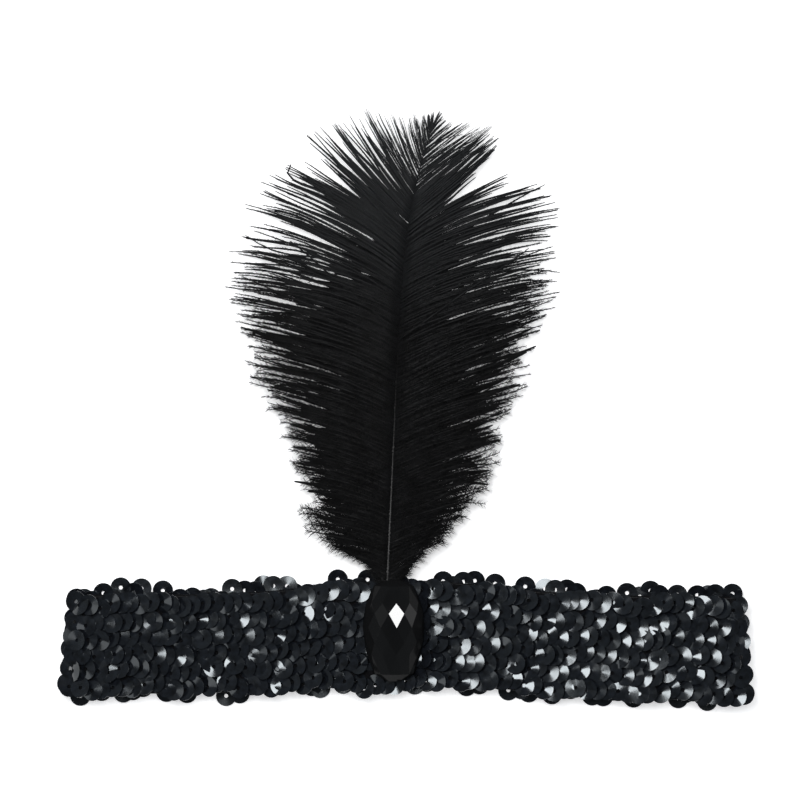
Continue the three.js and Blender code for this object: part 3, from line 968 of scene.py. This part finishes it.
# Each vane's name, barb table, side of the shaft, share of the clinging, and seed of its random draws.
VANES = (("left", LEFT_BARBS, -1, 1.0, 5), ("right", RIGHT_BARBS, 1, 0.75, 6))
for side_name, table, side_sign, cling_share, seed in VANES:
    rng = np.random.default_rng(seed)
    lines, length, root = vane_lines(table, side_sign, BARBS_PER_VANE, cling_share, rng)
    half_width = np.interp(sleekness(root), (0, 1), BARB_HALF_WIDTHS) * thinning(root, FINE_WIDTH)
    if side_name == "left":
        loose, loose_length = loose_line()
        lines = np.concatenate((lines, loose[None]))
        length = np.append(length, loose_length)
        root = np.append(root, LOOSE_BARB[0, 1])
        half_width = np.append(half_width, LOOSE_HALF_WIDTH)
    down, down_length, down_root = vane_lines(table, side_sign, DOWN_PER_VANE, DOWN_CLING, rng)
    down_width = DOWN_HALF_WIDTH * np.clip(down_length / DOWN_FULL_LENGTH, DOWN_SLIMMEST, 1)
    down_share = np.interp(down_root, (DOWN_SHORTER_FROM, DOWN_TOP), DOWN_SHARES)
    down_share = down_share * rng.uniform(*DOWN_SPREAD, DOWN_PER_VANE)
    down = down[:, :1] + (down - down[:, :1]) * down_share[:, None, None]
    down[:, :, 2] -= DOWN_SINK
    halves = (
        ("lower", root < PLUME_SPLIT, (down_root >= DOWN_FOOT) & (down_root < PLUME_SPLIT)),
        ("upper", root >= PLUME_SPLIT, (down_root >= PLUME_SPLIT) & (down_root < DOWN_TOP)),
    )
    for half_name, chosen, down_chosen in halves:
        blade_points, blade_faces, blade_rounded = barb_blades(lines[chosen], half_width[chosen])
        down_points, down_faces, down_rounded = barb_blades(down[down_chosen], down_width[down_chosen])
        spike_points, spike_faces = barbules(lines[chosen], length[chosen], root[chosen], rng)
        points = np.concatenate((blade_points, down_points, spike_points))
        down_faces = down_faces + len(blade_points)
        spike_faces = spike_faces + len(blade_points) + len(down_points)
        faces = np.concatenate((blade_faces, down_faces, spike_faces))
        vane = joined_mesh(f"plume_{side_name}_{half_name}", points, faces)
        map_from_above(vane, points, faces)
        rounded = np.concatenate((blade_rounded, down_rounded, np.ones(len(spike_faces), bool)))
        vane.data.polygons.foreach_set("use_smooth", rounded)
        vane.data.materials.append(plume_black)
        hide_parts("plume")
        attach(vane, "root")


# The stone
# One oval stone of black glassy plastic, cut all over in rows of lozenge facets and flat at the back.
# It is glued over the quill and the middle of the front, and moulding has left its edges a little rounded.
# Its facet rows lie nearer the plume than the CAD model's. Its steep sides carry painted light and shade: a
# paler colour and a weaker specular level than its top, set by how far each facet faces up.
FACET_EDGE = 0.00013
STONE_RAISE = 0.0019
STONE_TUCK = 0.0012
STONE_TUCK_POWER = 6
PAINTED_TONE_BY_SLOPE = ((0.35, 0.70, 0.97), (0.0, 0.3, 1.0))  # how far a facet faces up, and how much it keeps of the top's own colour and gloss rather than the painted steep-side tone
STONE_DEEP = (0.0008, 0.0008, 0.0009, 1.0)
STONE_PALE = (0.0016, 0.0016, 0.0018, 1.0)
STONE_PAINTED_STEEP = (0.0088, 0.0090, 0.0094, 1.0)
GLASS_ROUGHNESS = 0.05
GLASS_SCUFFS = 0.05
GLOSS_POWER = 2.0
GLOSS_LEVEL = 0.5

stone = bpy.data.objects.new("faceted_stone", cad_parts["stone"].data.copy())
bpy.context.collection.objects.link(stone)
stone.data.materials.clear()
bpy.ops.object.select_all(action="DESELECT")
stone.select_set(True)
bpy.context.view_layer.objects.active = stone
bpy.ops.object.mode_set(mode="EDIT")
bpy.ops.mesh.select_all(action="SELECT")
bpy.ops.mesh.remove_doubles(threshold=0.00001)
bpy.ops.mesh.dissolve_limited(angle_limit=math.radians(1.0))
bpy.ops.object.mode_set(mode="OBJECT")
stone_points = points_of(stone.data)
from_middle = (stone_points[:, 1] - stone_middle.y) / stone_half.y
stone_points[:, 1] += STONE_RAISE * (1 - from_middle**2)
stone_points[:, 1] += STONE_TUCK * np.clip(-from_middle, 0, 1) ** STONE_TUCK_POWER
stone.data.vertices.foreach_set("co", stone_points.ravel())
stone.data.update()
edges = stone.modifiers.new("edges", "BEVEL")
edges.width = FACET_EDGE
edges.segments = 2
edges.limit_method = "ANGLE"
edges.angle_limit = math.radians(6)
bpy.ops.object.modifier_apply(modifier=edges.name)
bpy.ops.object.shade_flat()
# Painted light and shade: facets that face less far up get a paler painted colour and a weaker specular
# level.
facing_up = np.array([facet.normal.z for facet in stone.data.polygons])
polished = np.interp(facing_up, *PAINTED_TONE_BY_SLOPE)
stone.data.attributes.new("polished", "FLOAT", "FACE").data.foreach_set("value", polished)

black_glass, glass_tree, glass_shader = new_finish("black_glass", roughness=GLASS_ROUGHNESS, ior=1.62)
glass_dye = add_mottle(glass_tree, scale=180.0, deep=STONE_DEEP, pale=STONE_PALE)
glass_scuff = add_math(glass_tree, "MULTIPLY", glass_dye.outputs["Mottle"], GLASS_SCUFFS)
feed(glass_tree, glass_shader.inputs["Roughness"], add_math(glass_tree, "ADD", glass_scuff, GLASS_ROUGHNESS))
glass_painted_tone = add_attribute(glass_tree, "polished")
# The steep facets' paler colour is painted light, and their lower specular level is painted shade that keeps
# the bright floor out of their reflections.
glass_colour = add_blend(glass_tree, glass_painted_tone, STONE_PAINTED_STEEP, glass_dye.outputs["Colour"])
feed(glass_tree, glass_shader.inputs["Base Color"], glass_colour)
glass_painted_gloss = add_math(glass_tree, "POWER", glass_painted_tone, GLOSS_POWER)
glass_painted_level = add_math(glass_tree, "MULTIPLY", glass_painted_gloss, GLOSS_LEVEL)
feed(glass_tree, glass_shader.inputs["Specular IOR Level"], glass_painted_level)
stone.data.materials.append(black_glass)

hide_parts("stone")
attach(stone, "root")
